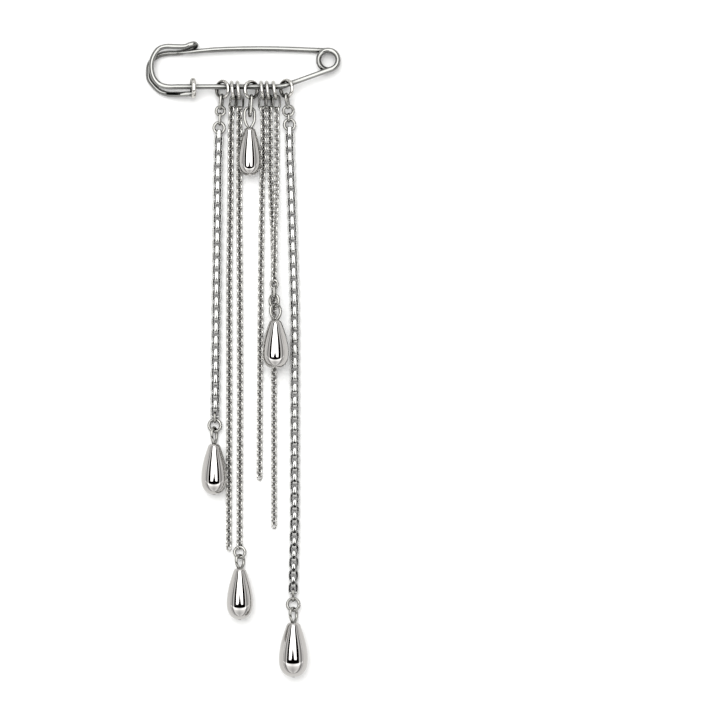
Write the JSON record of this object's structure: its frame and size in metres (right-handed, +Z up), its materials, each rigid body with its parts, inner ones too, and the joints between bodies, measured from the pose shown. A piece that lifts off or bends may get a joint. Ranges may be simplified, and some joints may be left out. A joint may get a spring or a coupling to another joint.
{
  "type": "lapel chain brooch",
  "caption": "Silver-tone kilt pin with box and fine cable chains hung from jump rings along its bar, and polished teardrop pendants, lying flat",
  "frame": {"origin": "middle of the footprint at table height", "axes": "the brooch lies on its back on a table: X runs along the pin, +Y points to the needle's side and the chains run to -Y, Z is up"},
  "size_m": [0.0599, 0.1952, 0.0104],
  "materials": {
    "pin_wire": "bright nickel-plated steel wire, silver tone",
    "rings": "bright nickel-plated wire, silver tone",
    "box_chain": "bright plated strip, silver tone",
    "fine_chain": "bright plated fine wire, silver tone",
    "drops": "mirror-polished plated zinc alloy, silver tone"
  },
  "bodies": {
    "brooch": {"pin_frame": "pin_wire", "collar": "pin_wire", "jump_ring_1": "rings", "jump_ring_2": "rings", "jump_ring_3": "rings", "jump_ring_4": "rings", "jump_ring_5": "rings", "jump_ring_6": "rings", "jump_ring_7": "rings", "jump_ring_8": "rings", "link_a1": "rings", "ring_a2": "rings", "link_a3": "rings", "ring_a4": "rings", "box_chain_a": "box_chain", "link_a5": "rings", "ring_a6": "rings", "drop_a": "drops", "link_b1": "rings", "chain_b": "fine_chain", "link_c1": "rings", "chain_c": "fine_chain", "ring_c2": "rings", "drop_c": "drops", "link_d1": "rings", "drop_d": "drops", "link_e1": "rings", "chain_e": "fine_chain", "link_f1": "rings", "chain_f": "fine_chain", "link_g1": "rings", "chain_g": "fine_chain", "link_g2": "rings", "link_g3": "rings", "ring_g4": "rings", "drop_g": "drops", "link_h1": "rings", "ring_h2": "rings", "link_h3": "rings", "ring_h4": "rings", "box_chain_h": "box_chain", "link_h5": "rings", "ring_h6": "rings", "drop_h": "drops"},
    "needle": {"pin_needle": "pin_wire"}
  },
  "joints": [
    {"name": "needle_spring", "type": "hinge", "parent": "brooch", "child": "needle", "pos_m": [0.0261, 0.0919, 0.0017], "axis": [0, 0, 1], "range_deg": [0, 9], "stiffness_Nm_per_rad": 0.02, "springref_deg": -8.59}
  ]
}
